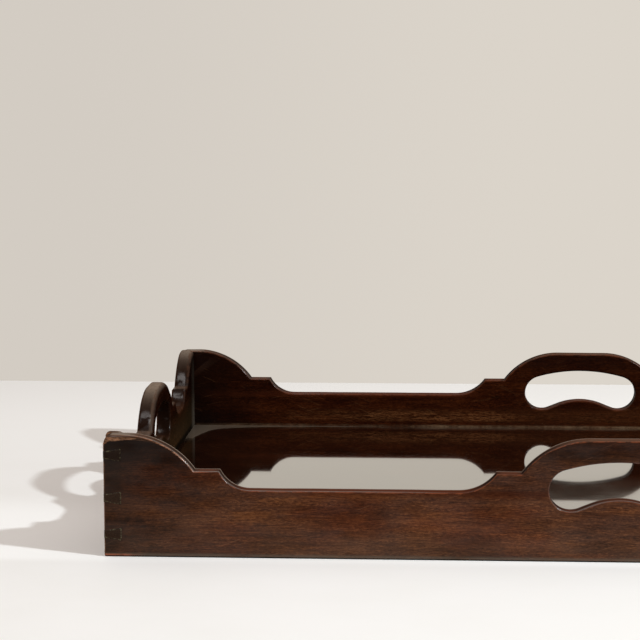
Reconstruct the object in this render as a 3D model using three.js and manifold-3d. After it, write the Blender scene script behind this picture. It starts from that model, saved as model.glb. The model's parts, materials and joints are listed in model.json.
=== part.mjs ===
// A mahogany carrying tray with a shaped gallery, put together as a cabinetmaker would build it.
// Four boards are through-dovetailed at the corners: the long boards carry the tails, the end
// boards the pins. Each board is sawn to the same run of raised corner, cusp, step, cove, low
// rail and pierced handle. The base board is let up into a rebate round the boards' lower edge
// and pinned to its shoulder with brads; fillets are glued beneath it and two cross bearers are
// screwed under it, so that the tray stands on the lower edges of its four boards.
//
// Millimetres. X runs along the tray, Y from front to back, Z up. The origin is on the table,
// under the centre of the tray.
import * as THREE from "three";
import { mergeVertices } from "three/addons/utils/BufferGeometryUtils.js";
import Module from "manifold-3d";

const wasm = await Module();
wasm.setup();

// Overall sizes
const trayLength = 740;
const trayWidth = 445;
const boardThickness = 12.7;

// Heights of the gallery above the table
const longCornerHeight = 89;
const longHandleHeight = 87.6;
const endCornerHeight = 90;
const endHandleHeight = 90.2;
const stepHeight = 63;
const railHeight = 49.2;

// The run of the gallery, along a board
const longCornerSpan = 65.5;
const endCornerSpan = 57.5;
const longHandleSpan = 138.8;
const endHandleSpan = 122;
const stepWidth = 18.1;
const cornerSweepRadius = 61.4;
const handleSweepRadius = 60.3;
const cornerCoveRadius = 24.5;
const handleCoveRadius = 33;
const wornCornerRadius = 6;

// The arrises: eased on the long boards, rounded over on the end boards, which the hands hold
const longArrisRadius = 1.5;
const endArrisRadius = 4;

// The hand hole: two round lobes under a crowned top, with a swelling between them below
const gripDepth = 15.6;
const lobeRadius = 15.5;
const longLobeSpacing = 69.6;
const endLobeSpacing = 65;
const crownRise = 5;
const swellRise = 8.5;
const swellRadius = 55;

// The dovetails
const pinWideEnd = 9.4;
const pinNarrowEnd = 5.2;
const lowestPinRise = 16.4;
const highestPinDrop = 14.6;
const middlePinDrop = 2.5;
const jointGap = 0.2;

// The base and what holds it
const floorHeight = 19;
const baseThickness = 9.5;
const rebateDepth = 6;
const shrinkageGap = 0.3;
const filletWidth = 14;
const filletChamfer = 3;
const underLift = 0.5;
const bearerWidth = 38;
const bearerInset = 180;
const bearerEndChamfer = 5;

// Brads and screws
const bradThickness = 1.8;
const bradHeadWidth = 3.4;
const bradHeadDepth = 1;
const bradHold = 11;
const bradsOnLongBoard = 5;
const bradsOnEndBoard = 3;
const bradEndDistance = 50;
const screwHeadDiameter = 8;
const screwHeadLand = 0.3;
const screwShankDiameter = 3.8;
const screwHold = 6.5;
const screwTipLength = 4;
const screwSlotWidth = 1;
const screwSlotDepth = 1.1;
const screwEndDistance = 32;
const screwsPerBearer = 4;
const fixingGap = 0.15;

// How finely round stretches are cut, and how far a cutter runs past what it cuts
const sweepSteps = 12;
const coveSteps = 8;
const lobeSteps = 14;
const longArrisSteps = 2;
const endArrisSteps = 3;
const screwSides = 16;
const overrun = 4;

const baseUnderside = floorHeight - baseThickness;
const rebateWall = boardThickness - rebateDepth;
const longHalf = trayLength / 2;
const endHalf = trayWidth / 2;

// The two patterns that the boards are sawn to
const longPattern = {
  half: longHalf,
  cornerHeight: longCornerHeight,
  cornerSpan: longCornerSpan,
  handleHeight: longHandleHeight,
  handleSpan: longHandleSpan,
  lobeSpacing: longLobeSpacing,
  arrisRadius: longArrisRadius,
  arrisSteps: longArrisSteps,
};
const endPattern = {
  half: endHalf,
  cornerHeight: endCornerHeight,
  cornerSpan: endCornerSpan,
  handleHeight: endHandleHeight,
  handleSpan: endHandleSpan,
  lobeSpacing: endLobeSpacing,
  arrisRadius: endArrisRadius,
  arrisSteps: endArrisSteps,
};

// Turning three.js geometry into solids that can be cut and joined, and back again

function toSolid(geometry) {
  const bare = new THREE.BufferGeometry();
  const source = geometry.index ? geometry.toNonIndexed() : geometry;
  bare.setAttribute("position", source.getAttribute("position"));
  const merged = mergeVertices(bare, 1e-4);
  return new wasm.Manifold(
    new wasm.Mesh({
      numProp: 3,
      vertProperties: new Float32Array(merged.attributes.position.array),
      triVerts: new Uint32Array(merged.index.array),
    }),
  );
}

function toGeometry(solid) {
  const { numProp, vertProperties, triVerts } = solid.getMesh();
  const positions = new Float32Array((vertProperties.length / numProp) * 3);
  for (let i = 0; i * numProp < vertProperties.length; i++) {
    positions.set(vertProperties.subarray(i * numProp, i * numProp + 3), i * 3);
  }
  const geometry = new THREE.BufferGeometry();
  geometry.setAttribute("position", new THREE.BufferAttribute(positions, 3));
  geometry.setIndex(new THREE.BufferAttribute(new Uint32Array(triVerts), 1));
  geometry.computeVertexNormals();
  return geometry;
}

// A block between two opposite corners
function block(low, high) {
  const size = high.map((value, axis) => value - low[axis]);
  const middle = high.map((value, axis) => (value + low[axis]) / 2);
  return toSolid(new THREE.BoxGeometry(...size).translate(...middle));
}

// A flat outline in X and Z, pushed through from y = near to y = far
function slab(outline, near, far) {
  const shape = new THREE.Shape(outline);
  const pushed = new THREE.ExtrudeGeometry(shape, { depth: far - near, bevelEnabled: false });
  return toSolid(pushed.rotateX(Math.PI / 2).translate(0, far, 0));
}

function alongArc(centreX, centreZ, radius, from, to, steps) {
  return Array.from({ length: steps + 1 }, (_, i) => {
    const angle = from + ((to - from) * i) / steps;
    return new THREE.Vector2(
      centreX + radius * Math.cos(angle),
      centreZ + radius * Math.sin(angle),
    );
  });
}

// The gallery's outline

// How far an arc runs sideways while it climbs by rise from its level end
function reach(radius, rise) {
  return Math.sqrt(Math.max(radius ** 2 - (radius - rise) ** 2, 0));
}

// How far an arc has left the level, at a distance along from its level end
function fallOf(radius, along) {
  return radius - Math.sqrt(Math.max(radius ** 2 - along ** 2, 0));
}

// The distances at which an arc is cut, equally spaced by angle
function arcStops(radius, run, steps) {
  const sweep = Math.asin(Math.min(run / radius, 1));
  return Array.from({ length: steps + 1 }, (_, i) => radius * Math.sin((sweep * i) / steps));
}

const cornerCoveRun = reach(cornerCoveRadius, stepHeight - railHeight);
const handleCoveRun = reach(handleCoveRadius, stepHeight - railHeight);

// How far the sweep below a raised corner or a handle runs along the board
function cornerSweepRun({ cornerHeight }) {
  return reach(cornerSweepRadius, cornerHeight - stepHeight);
}

function handleSweepRun({ handleHeight }) {
  return reach(handleSweepRadius, handleHeight - stepHeight);
}

// Height of the raised corner, at a distance in from the board's end
function cornerRim(inward, pattern) {
  const { cornerHeight, cornerSpan } = pattern;
  const sweepStart = cornerSpan - cornerSweepRun(pattern);
  const coveEnd = cornerSpan + stepWidth + cornerCoveRun;
  if (inward < wornCornerRadius) {
    return cornerHeight - fallOf(wornCornerRadius, wornCornerRadius - inward);
  }
  if (inward < sweepStart) return cornerHeight;
  if (inward < cornerSpan) return cornerHeight - fallOf(cornerSweepRadius, inward - sweepStart);
  if (inward < cornerSpan + stepWidth) return stepHeight;
  if (inward < coveEnd) return railHeight + fallOf(cornerCoveRadius, coveEnd - inward);
  return railHeight;
}

// Height of the handle, at a distance out from the middle of the board
function handleRim(outward, pattern) {
  const { handleHeight, handleSpan } = pattern;
  const cusp = handleSpan / 2;
  const sweepStart = cusp - handleSweepRun(pattern);
  const coveEnd = cusp + stepWidth + handleCoveRun;
  if (outward < sweepStart) return handleHeight;
  if (outward < cusp) return handleHeight - fallOf(handleSweepRadius, outward - sweepStart);
  if (outward < cusp + stepWidth) return stepHeight;
  if (outward < coveEnd) return railHeight + fallOf(handleCoveRadius, coveEnd - outward);
  return railHeight;
}

// The gallery line of one board from its left end to its right
function rimLine(pattern) {
  const { half, cornerSpan, handleSpan } = pattern;
  const cornerRun = cornerSweepRun(pattern);
  const handleRun = handleSweepRun(pattern);
  const cornerStart = cornerSpan - cornerRun;
  const cornerEnd = cornerSpan + stepWidth + cornerCoveRun;
  const handleStart = handleSpan / 2 - handleRun;
  const handleEnd = handleSpan / 2 + stepWidth + handleCoveRun;
  const fromEnd = [
    ...arcStops(wornCornerRadius, wornCornerRadius, coveSteps / 2).map((d) => wornCornerRadius - d),
    ...arcStops(cornerSweepRadius, cornerRun, sweepSteps).map((d) => cornerStart + d),
    ...arcStops(cornerCoveRadius, cornerCoveRun, coveSteps).map((d) => cornerEnd - d),
  ];
  const fromMiddle = [
    ...arcStops(handleSweepRadius, handleRun, sweepSteps).map((d) => handleStart + d),
    ...arcStops(handleCoveRadius, handleCoveRun, coveSteps).map((d) => handleEnd - d),
  ];
  const stops = [...fromEnd.map((d) => half - d), ...fromMiddle]
    .filter((d) => d > 0 && d <= half)
    .sort((a, b) => a - b)
    .filter((d, i, all) => i === 0 || d - all[i - 1] > 1e-3);
  const height = (d) => Math.max(cornerRim(half - d, pattern), handleRim(d, pattern));
  const right = stops.map((d) => new THREE.Vector2(d, height(d)));
  const left = right.map((p) => new THREE.Vector2(-p.x, p.y)).reverse();
  return [...left, ...right];
}

// The hand hole, struck with compasses: lobe, crown, lobe, and the swelling between two tangents
function handHole({ handleHeight, lobeSpacing }) {
  const apart = lobeSpacing / 2;
  const crownTop = handleHeight - gripDepth;
  const lobeHeight = crownTop - crownRise - lobeRadius;
  const lobeDrop = crownTop - lobeHeight;
  const crownRadius = (apart ** 2 + lobeDrop ** 2 - lobeRadius ** 2) / (2 * crownRise);
  const crownAngle = Math.atan2(lobeHeight - crownTop + crownRadius, apart);

  const swellDrop = lobeRadius - swellRise;
  const widest = (apart ** 2 + swellDrop ** 2 - lobeRadius ** 2) / (2 * swellRise);
  const swell = Math.min(swellRadius, widest);
  const swellCentre = lobeHeight - swellDrop - swell;
  const between = Math.hypot(apart, swellDrop + swell);
  const slope =
    Math.atan2(apart, swellDrop + swell) - Math.acos(Math.min((swell + lobeRadius) / between, 1));

  const down = -Math.PI / 2;
  const crown = alongArc(
    0,
    crownTop - crownRadius,
    crownRadius,
    Math.PI - crownAngle,
    crownAngle,
    sweepSteps,
  );
  const rightLobe = alongArc(apart, lobeHeight, lobeRadius, crownAngle, down - slope, lobeSteps);
  const swelling = alongArc(0, swellCentre, swell, -down - slope, -down + slope, coveSteps);
  const leftLobe = alongArc(
    -apart,
    lobeHeight,
    lobeRadius,
    down + slope,
    -Math.PI - crownAngle,
    lobeSteps,
  );
  return [...crown, ...rightLobe.slice(1), ...swelling, ...leftLobe.slice(0, -1)];
}

// A board's blank with its arrises rounded, lying along X with its outer face at y = 0
function boardBlank(pattern) {
  const { half, arrisRadius } = pattern;
  const rim = rimLine(pattern);
  const last = rim[rim.length - 1];
  const margin = overrun + arrisRadius;
  const outline = new THREE.Shape([
    new THREE.Vector2(-half - margin, -margin),
    new THREE.Vector2(half + margin, -margin),
    new THREE.Vector2(half + margin, last.y),
    ...rim.slice().reverse(),
    new THREE.Vector2(-half - margin, last.y),
  ]);
  outline.holes.push(new THREE.Path(handHole(pattern)));
  const sawn = new THREE.ExtrudeGeometry(outline, {
    depth: boardThickness - 2 * arrisRadius,
    bevelThickness: arrisRadius,
    bevelSize: arrisRadius,
    bevelOffset: -arrisRadius,
    bevelSegments: pattern.arrisSteps,
  });
  sawn.rotateX(Math.PI / 2).translate(0, boardThickness - arrisRadius, 0);
  const top = 2 * pattern.cornerHeight;
  const trimmed = block([-half, -overrun, 0], [half, boardThickness + overrun, top]);
  return toSolid(sawn).intersect(trimmed);
}

// What the base's rebate takes out of a board, on its inner lower arris
function rebateCut(half) {
  const end = half - rebateWall;
  return block([-end, rebateWall, -overrun], [end, boardThickness + overrun, floorHeight]);
}

// The dovetails

const pinCentres = [
  lowestPinRise,
  (lowestPinRise + longCornerHeight - highestPinDrop) / 2 - middlePinDrop,
  longCornerHeight - highestPinDrop,
];

// Half the height of a pin, at a depth in from the face that shows its narrow end
function pinHalfHeight(depth) {
  return (pinNarrowEnd + ((pinWideEnd - pinNarrowEnd) * depth) / boardThickness) / 2;
}

// Pins as slabs across a board, widening along X from the narrow end at x = 0
function pinWedges(near, far, ease) {
  const start = -overrun;
  const end = boardThickness + ease;
  return pinCentres.map((centre) => {
    const narrow = pinHalfHeight(start) + ease;
    const wide = pinHalfHeight(end) + ease;
    const wedge = [
      new THREE.Vector2(start, centre - narrow),
      new THREE.Vector2(end, centre - wide),
      new THREE.Vector2(end, centre + wide),
      new THREE.Vector2(start, centre + narrow),
    ];
    return slab(wedge, near, far);
  });
}

// A row of places, equally spaced between two that lie the same distance in from each end
function spread(count, half, endDistance) {
  if (count < 2) return [0];
  const first = half - endDistance;
  return Array.from({ length: count }, (_, i) => -first + (2 * first * i) / (count - 1));
}

const longBradPlaces = spread(bradsOnLongBoard, longHalf, bradEndDistance);
const endBradPlaces = spread(bradsOnEndBoard, endHalf, bradEndDistance);

function bradHoles(places) {
  const reachOut = bradThickness / 2 + fixingGap;
  const middle = boardThickness - rebateDepth / 2;
  const top = floorHeight + bradHold + fixingGap;
  return places.map((x) =>
    block([x - reachOut, middle - reachOut, -overrun], [x + reachOut, middle + reachOut, top]),
  );
}

// A long board: tails at both ends, left standing between the sockets for the pins
function longBoard() {
  let board = boardBlank(longPattern).subtract(rebateCut(longHalf));
  for (const wedge of pinWedges(-overrun, boardThickness + overrun, jointGap)) {
    const socket = wedge.translate(-longHalf, 0, 0);
    board = board.subtract(socket).subtract(socket.mirror([1, 0, 0]));
  }
  for (const hole of bradHoles(longBradPlaces)) board = board.subtract(hole);
  return board;
}

// An end board: what the tails take is cut away at both ends, and the pins are left
function endBoard() {
  const shoulder = boardThickness + jointGap;
  let waste = block(
    [-endHalf - overrun, -overrun, -overrun],
    [-endHalf + shoulder, boardThickness + overrun, 2 * endCornerHeight],
  );
  for (const wedge of pinWedges(-endHalf - 2 * overrun, -endHalf + 2 * shoulder, 0)) {
    // turned so that the pin widens from the outer face inwards and runs out along the board
    waste = waste.subtract(wedge.mirror([1, -1, 0]));
  }
  let board = boardBlank(endPattern);
  board = board.subtract(waste).subtract(waste.mirror([1, 0, 0])).subtract(rebateCut(endHalf));
  for (const hole of bradHoles(endBradPlaces)) board = board.subtract(hole);
  return board;
}

// The base, its fillets and bearers

const baseHalfLength = longHalf - rebateWall - shrinkageGap;
const baseHalfWidth = endHalf - rebateWall - shrinkageGap;
const bearerHalfLength = baseHalfWidth - filletWidth - shrinkageGap;
const bearerPlaces = [-1, 1].map((side) => side * (longHalf - bearerInset));
const screwPlaces = spread(screwsPerBearer, bearerHalfLength, screwEndDistance);
const screwLength = baseUnderside - underLift + screwHold;

// The outline of a countersunk screw, from the middle of its head to its tip, in radius and height.
// A hole for it is the same outline with an ease all round, begun below the surface that it enters.
function screwProfile(ease, start) {
  const head = screwHeadDiameter / 2 + ease;
  const shank = screwShankDiameter / 2 + ease;
  const coneEnd = screwHeadLand + head - shank;
  return [
    new THREE.Vector2(0, start),
    new THREE.Vector2(head, start),
    new THREE.Vector2(head, screwHeadLand),
    new THREE.Vector2(shank, coneEnd),
    new THREE.Vector2(shank, screwLength - screwTipLength + ease),
    new THREE.Vector2(0, screwLength + ease),
  ];
}

// A turned solid whose profile runs up Z
function turned(profile) {
  return toSolid(new THREE.LatheGeometry(profile, screwSides).rotateX(Math.PI / 2));
}

function screw() {
  const slot = block(
    [-screwHeadDiameter, -screwSlotWidth / 2, -overrun],
    [screwHeadDiameter, screwSlotWidth / 2, screwSlotDepth],
  );
  return turned(screwProfile(0, 0)).subtract(slot);
}

function screwHole() {
  return turned(screwProfile(fixingGap, -overrun));
}

function baseBoard() {
  let base = block(
    [-baseHalfLength, -baseHalfWidth, baseUnderside],
    [baseHalfLength, baseHalfWidth, floorHeight],
  );
  const shank = bradThickness / 2 + fixingGap;
  const head = bradHeadWidth / 2 + fixingGap;
  const headTop = baseUnderside + bradHeadDepth + fixingGap;
  for (const [x, y] of bradPlaces()) {
    base = base
      .subtract(block([x - shank, y - shank, -overrun], [x + shank, y + shank, 2 * floorHeight]))
      .subtract(block([x - head, y - shank, -overrun], [x + head, y + shank, headTop]));
  }
  for (const x of bearerPlaces) {
    for (const y of screwPlaces) base = base.subtract(screwHole().translate(x, y, underLift));
  }
  return base;
}

// A brad, from its flat head up to its point
function brad() {
  const half = bradThickness / 2;
  const head = bradHeadWidth / 2;
  const length = baseThickness + bradHold;
  const side = [
    new THREE.Vector2(-head, 0),
    new THREE.Vector2(head, 0),
    new THREE.Vector2(head, bradHeadDepth),
    new THREE.Vector2(half, bradHeadDepth),
    new THREE.Vector2(half / 2, length),
    new THREE.Vector2(-half / 2, length),
    new THREE.Vector2(-half, bradHeadDepth),
    new THREE.Vector2(-head, bradHeadDepth),
  ];
  return slab(side, -half, half);
}

// Where each brad stands, in X and Y: along the rebates of the long boards, then of the end boards
function bradPlaces() {
  const inward = boardThickness - rebateDepth / 2;
  const onLong = [-1, 1].flatMap((side) =>
    longBradPlaces.map((x) => [x, side * (endHalf - inward)]),
  );
  const onEnds = [-1, 1].flatMap((side) =>
    endBradPlaces.map((y) => [side * (longHalf - inward), y]),
  );
  return [...onLong, ...onEnds];
}

// A fillet's section: a strip with its lower inner arris taken off, y = 0 against the board
function fillet(halfLength) {
  const section = new THREE.Shape([
    new THREE.Vector2(0, underLift),
    new THREE.Vector2(filletWidth - filletChamfer, underLift),
    new THREE.Vector2(filletWidth, underLift + filletChamfer),
    new THREE.Vector2(filletWidth, baseUnderside),
    new THREE.Vector2(0, baseUnderside),
  ]);
  const strip = new THREE.ExtrudeGeometry(section, { depth: 2 * halfLength, bevelEnabled: false });
  return toSolid(strip.rotateX(Math.PI / 2).rotateZ(Math.PI / 2).translate(-halfLength, 0, 0));
}

// A bearer along Y, its ends chamfered beneath, bored for its screws
function bearer() {
  const half = bearerHalfLength;
  const side = [
    new THREE.Vector2(-half, baseUnderside),
    new THREE.Vector2(-half, underLift + bearerEndChamfer),
    new THREE.Vector2(-half + bearerEndChamfer, underLift),
    new THREE.Vector2(half - bearerEndChamfer, underLift),
    new THREE.Vector2(half, underLift + bearerEndChamfer),
    new THREE.Vector2(half, baseUnderside),
  ];
  let strip = slab(side, -bearerWidth / 2, bearerWidth / 2).rotate([0, 0, 90]);
  for (const y of screwPlaces) strip = strip.subtract(screwHole().translate(0, y, underLift));
  return strip;
}

// Materials

const polishedMahogany = new THREE.MeshStandardMaterial({
  color: 0x4a2717,
  roughness: 0.32,
  metalness: 0,
});
const darkenedMahogany = new THREE.MeshStandardMaterial({
  color: 0x2e1710,
  roughness: 0.4,
  metalness: 0,
});
const floorMahogany = new THREE.MeshStandardMaterial({
  color: 0x3a1c10,
  roughness: 0.08,
  metalness: 0,
});
const bareMahogany = new THREE.MeshStandardMaterial({
  color: 0x6b4630,
  roughness: 0.75,
  metalness: 0,
});
const forgedIron = new THREE.MeshStandardMaterial({
  color: 0x3b3632,
  roughness: 0.6,
  metalness: 0.9,
});

// The assembly

function piece(name, solid, material) {
  const mesh = new THREE.Mesh(toGeometry(solid), material);
  mesh.name = name;
  return mesh;
}

const gallery = new THREE.Group();
const front = piece("front_board", longBoard(), polishedMahogany);
front.position.y = -endHalf;
const back = piece("back_board", longBoard(), polishedMahogany);
back.position.y = endHalf;
back.rotation.z = Math.PI;
const left = piece("left_end_board", endBoard(), darkenedMahogany);
left.position.x = -longHalf;
left.rotation.z = -Math.PI / 2;
const right = piece("right_end_board", endBoard(), darkenedMahogany);
right.position.x = longHalf;
right.rotation.z = Math.PI / 2;
gallery.add(front, back, left, right);

const underside = new THREE.Group();
underside.add(piece("base_board", baseBoard(), floorMahogany));

const filletSeat = rebateWall + shrinkageGap;
const endFilletHalf = bearerHalfLength;
const fillets = [
  ["front_fillet", baseHalfLength, 0, -endHalf + filletSeat, 0],
  ["back_fillet", baseHalfLength, 0, endHalf - filletSeat, Math.PI],
  ["left_fillet", endFilletHalf, -longHalf + filletSeat, 0, -Math.PI / 2],
  ["right_fillet", endFilletHalf, longHalf - filletSeat, 0, Math.PI / 2],
];
for (const [name, halfLength, x, y, turn] of fillets) {
  const strip = piece(name, fillet(halfLength), bareMahogany);
  strip.position.set(x, y, 0);
  strip.rotation.z = turn;
  underside.add(strip);
}

bearerPlaces.forEach((x, i) => {
  const side = ["left", "right"][i];
  const assembly = new THREE.Group();
  assembly.position.x = x;
  assembly.add(piece(`${side}_bearer`, bearer(), bareMahogany));
  screwPlaces.forEach((y, n) => {
    const fixing = piece(`${side}_bearer_screw_${n + 1}`, screw(), forgedIron);
    fixing.position.set(0, y, underLift);
    assembly.add(fixing);
  });
  underside.add(assembly);
});

bradPlaces().forEach(([x, y], i) => {
  const nail = piece(`base_brad_${String(i + 1).padStart(2, "0")}`, brad(), forgedIron);
  nail.position.set(x, y, baseUnderside);
  underside.add(nail);
});

const tray = new THREE.Group();
tray.add(gallery, underside);

export default tray;
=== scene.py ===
import json
import math

import bmesh
import bpy
from mathutils import Matrix, Vector, kdtree, noise

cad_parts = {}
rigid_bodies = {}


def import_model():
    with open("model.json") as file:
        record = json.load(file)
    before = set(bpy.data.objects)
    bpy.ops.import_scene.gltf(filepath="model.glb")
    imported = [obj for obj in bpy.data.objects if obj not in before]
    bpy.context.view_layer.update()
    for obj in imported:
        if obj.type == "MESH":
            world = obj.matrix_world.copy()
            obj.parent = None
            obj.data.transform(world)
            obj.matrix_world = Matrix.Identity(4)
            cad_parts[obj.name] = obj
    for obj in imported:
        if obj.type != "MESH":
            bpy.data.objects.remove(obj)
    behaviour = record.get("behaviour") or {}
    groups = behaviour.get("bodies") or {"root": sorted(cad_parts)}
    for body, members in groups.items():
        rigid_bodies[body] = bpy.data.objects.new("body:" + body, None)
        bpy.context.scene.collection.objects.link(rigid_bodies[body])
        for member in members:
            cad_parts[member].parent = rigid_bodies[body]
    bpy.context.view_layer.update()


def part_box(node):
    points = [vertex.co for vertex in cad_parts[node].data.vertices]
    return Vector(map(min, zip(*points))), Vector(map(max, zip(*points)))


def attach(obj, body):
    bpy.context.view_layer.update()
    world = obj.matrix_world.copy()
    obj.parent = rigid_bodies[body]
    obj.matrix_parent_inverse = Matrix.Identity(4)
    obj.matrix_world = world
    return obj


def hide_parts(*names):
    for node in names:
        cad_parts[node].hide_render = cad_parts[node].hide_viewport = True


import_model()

# The camera stands in front of the tray's left half, a little above it, and looks slightly down.
# The right edge of the picture cuts the tray at the handles of its two long boards.
camera_place = Vector((-0.1263, -1.6421, 0.3533))
camera_turned_left = 0.0612
camera_tipped_down = 0.126
camera_rolled = -0.0027
camera_lens = 113.85
camera_film_width = 36
camera_nearest = 0.01

camera_data = bpy.data.cameras.new("camera")
camera_data.lens = camera_lens
camera_data.sensor_width = camera_film_width
camera_data.clip_start = camera_nearest
camera = bpy.data.objects.new("camera", camera_data)
camera.matrix_world = (
    Matrix.Translation(camera_place)
    @ Matrix.Rotation(camera_turned_left, 4, "Z")
    @ Matrix.Rotation(math.pi / 2 - camera_tipped_down, 4, "X")
    @ Matrix.Rotation(camera_rolled, 4, "Z")
)
bpy.context.scene.collection.objects.link(camera)
bpy.context.scene.camera = camera

# The front and back boards are the long sides of the gallery, half an inch thick, of mahogany.
# Each is bow-sawn to the same run of raised corner, cusp, step, cove, low rail and handle, its
# arrises rubbed round by use, and it carries the tails of the dovetails at both ends.
MM = 0.001
long_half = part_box("front_board")[1].x / MM
end_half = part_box("back_board")[1].y / MM
board_thickness = (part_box("front_board")[1].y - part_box("front_board")[0].y) / MM
floor_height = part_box("base_board")[1].z / MM

step_height = 63
rail_height = 49.2
step_width = 18.1
corner_sweep_radius = 61.4
handle_sweep_radius = 60.3
corner_cove_radius = 24.5
handle_cove_radius = 33
long_pattern = {
    "half": long_half,
    "corner_height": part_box("front_board")[1].z / MM,
    "corner_span": 65.5,
    "handle_height": 87.6,
    "handle_span": 138.8,
    "lobe_spacing": 69.6,
    "worn_top": 6.5,
}
worn_foot = 1.2

grip_depth = 15.6
lobe_radius = 15.5
crown_rise = 5
swell_rise = 8.5
widest_swell = 55

curve_step = 1.3
straight_step = 5
same_point = 0.01


def arc(centre_u, centre_z, radius, start, end):
    """Points round an arc, both ends among them."""
    count = max(2, math.ceil(abs(end - start) * radius / curve_step))
    return [
        Vector((centre_u + radius * math.cos(a), centre_z + radius * math.sin(a)))
        for a in (start + (end - start) * i / count for i in range(count + 1))
    ]


def straight(start, end):
    """Points along a straight stretch, both ends among them."""
    start, end = Vector(start), Vector(end)
    count = max(1, math.ceil((end - start).length / straight_step))
    return [start.lerp(end, i / count) for i in range(count + 1)]


def joined(*stretches):
    """Stretches that meet end to end as one run of points, each meeting point kept once."""
    run = []
    for stretch in stretches:
        for point in stretch:
            if not run or (point - run[-1]).length > same_point:
                run.append(point)
    return run


def bend(fall, radius):
    """The angle that an arc turns through as it falls from level, and how far it runs."""
    angle = math.acos(1 - fall / radius)
    return angle, radius * math.sin(angle)


def descent(cusp, height, sweep_radius, cove_radius):
    """From a level top down a sweep to the cusp, along the step and down the cove to the rail.
    cusp is how far the cusp lies from the middle of the handle or from the board's end."""
    top = math.pi / 2
    sweep_angle, sweep_run = bend(height - step_height, sweep_radius)
    cove_angle, cove_run = bend(step_height - rail_height, cove_radius)
    step_end = cusp + step_width
    return joined(
        arc(cusp - sweep_run, height - sweep_radius, sweep_radius, top, top - sweep_angle),
        straight((cusp, step_height), (step_end, step_height)),
        arc(step_end + cove_run, rail_height + cove_radius, cove_radius, -top - cove_angle, -top),
    )


def gallery_rim(pattern):
    """The right half of a board's top line, from the middle of the handle to the board's end."""
    handle_height, corner_height = pattern["handle_height"], pattern["corner_height"]
    handle = descent(
        pattern["handle_span"] / 2, handle_height, handle_sweep_radius, handle_cove_radius
    )
    corner = descent(pattern["corner_span"], corner_height, corner_sweep_radius, corner_cove_radius)
    corner = [Vector((pattern["half"] - p.x, p.y)) for p in reversed(corner)]
    return joined(
        straight((0, handle_height), handle[0]),
        handle,
        straight(handle[-1], corner[0]),
        corner,
        straight(corner[-1], (pattern["half"], corner_height)),
    )


def board_outline(pattern):
    """A board's whole outline, anticlockwise from the middle of its foot."""
    square_end, worn_top = pattern["half"], pattern["worn_top"]
    top_end = square_end - worn_top
    rim = [p for p in gallery_rim(pattern) if p.x < top_end]
    shoulder = arc(top_end, pattern["corner_height"] - worn_top, worn_top, 0, math.pi / 2)
    heel = arc(square_end - worn_foot, worn_foot, worn_foot, -math.pi / 2, 0)
    right = joined(
        straight((0, 0), heel[0]),
        heel,
        straight(heel[-1], shoulder[0]),
        shoulder,
        list(reversed(rim)),
    )
    left = [Vector((-p.x, p.y)) for p in reversed(right)]
    return right[:-1] + left[:-1]


def hand_hole(pattern):
    """The kidney-shaped hand hole, clockwise: two lobes under a crown, a swelling below."""
    apart = pattern["lobe_spacing"] / 2
    crown_top = pattern["handle_height"] - grip_depth
    lobe_height = crown_top - crown_rise - lobe_radius
    lobe_drop = crown_top - lobe_height
    crown_radius = (apart**2 + lobe_drop**2 - lobe_radius**2) / (2 * crown_rise)
    crown_angle = math.atan2(lobe_height - crown_top + crown_radius, apart)
    swell_drop = lobe_radius - swell_rise
    touching = (apart**2 + swell_drop**2 - lobe_radius**2) / (2 * swell_rise)
    swell_radius = min(widest_swell, touching)
    fall = swell_drop + swell_radius
    slope = math.atan2(apart, fall) - math.acos(
        min((swell_radius + lobe_radius) / math.hypot(apart, fall), 1)
    )
    swell_height = lobe_height - fall
    down = -math.pi / 2
    loop = joined(
        arc(0, crown_top - crown_radius, crown_radius, math.pi - crown_angle, crown_angle),
        arc(apart, lobe_height, lobe_radius, crown_angle, down - slope),
        arc(0, swell_height, swell_radius, -down - slope, -down + slope),
        arc(-apart, lobe_height, lobe_radius, down + slope, -math.pi - crown_angle),
    )
    return loop[:-1]


rub_steps = 5
rub_margin = 0.5
least_rub = 0.05
level_sharpness = 12
sharpest_mitre = 0.4
hand_waver = 0.12
waver_length = 23
wear_reach = 0.2
board_round_angle = 32
flat_weight = 100


def waver_at(point, length, seed):
    """A smooth change between -1 and 1 along a board, with swings of about that length."""
    return noise.noise(Vector((point.x / length, point.y / length, seed)))


def wavering(loop, seed, lowest):
    """A sawn line strays a little below the drawn one. What lies lower than lowest stays true."""
    strayed = []
    for point in loop:
        amount = waver_at(point, waver_length, seed) * hand_waver
        stray = Vector((0, hand_waver / 2 + amount)) if point.y > lowest else Vector((0, 0))
        strayed.append(point - stray)
    return strayed


def inward_normals(loop):
    """At each point of a closed loop, the mitred direction into the wood on its left."""
    normals = []
    for i, point in enumerate(loop):
        before = (point - loop[i - 1]).normalized()
        after = (loop[(i + 1) % len(loop)] - point).normalized()
        first = Vector((-before.y, before.x))
        second = Vector((-after.y, after.x))
        normals.append((first + second) / max(1 + first.dot(second), sharpest_mitre))
    return normals


def skin(shape, rings):
    """Faces between each ring of points and the next."""
    for near, far in zip(rings, rings[1:]):
        for quad in zip(near, near[1:] + near[:1], far[1:] + far[:1], far):
            shape.faces.new(quad)


def as_object(name, shape):
    """A finished bmesh as an object of the scene."""
    mesh = bpy.data.meshes.new(name)
    shape.to_mesh(mesh)
    shape.free()
    piece = bpy.data.objects.new(name, mesh)
    bpy.context.scene.collection.objects.link(piece)
    return piece


def closed(name, shape, rings):
    """A solid piece over rings of points, with a flat face at the first ring and the last."""
    skin(shape, rings)
    shape.faces.new(rings[0])
    shape.faces.new(rings[-1])
    bmesh.ops.recalc_face_normals(shape, faces=shape.faces)
    return as_object(name, shape)


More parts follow.
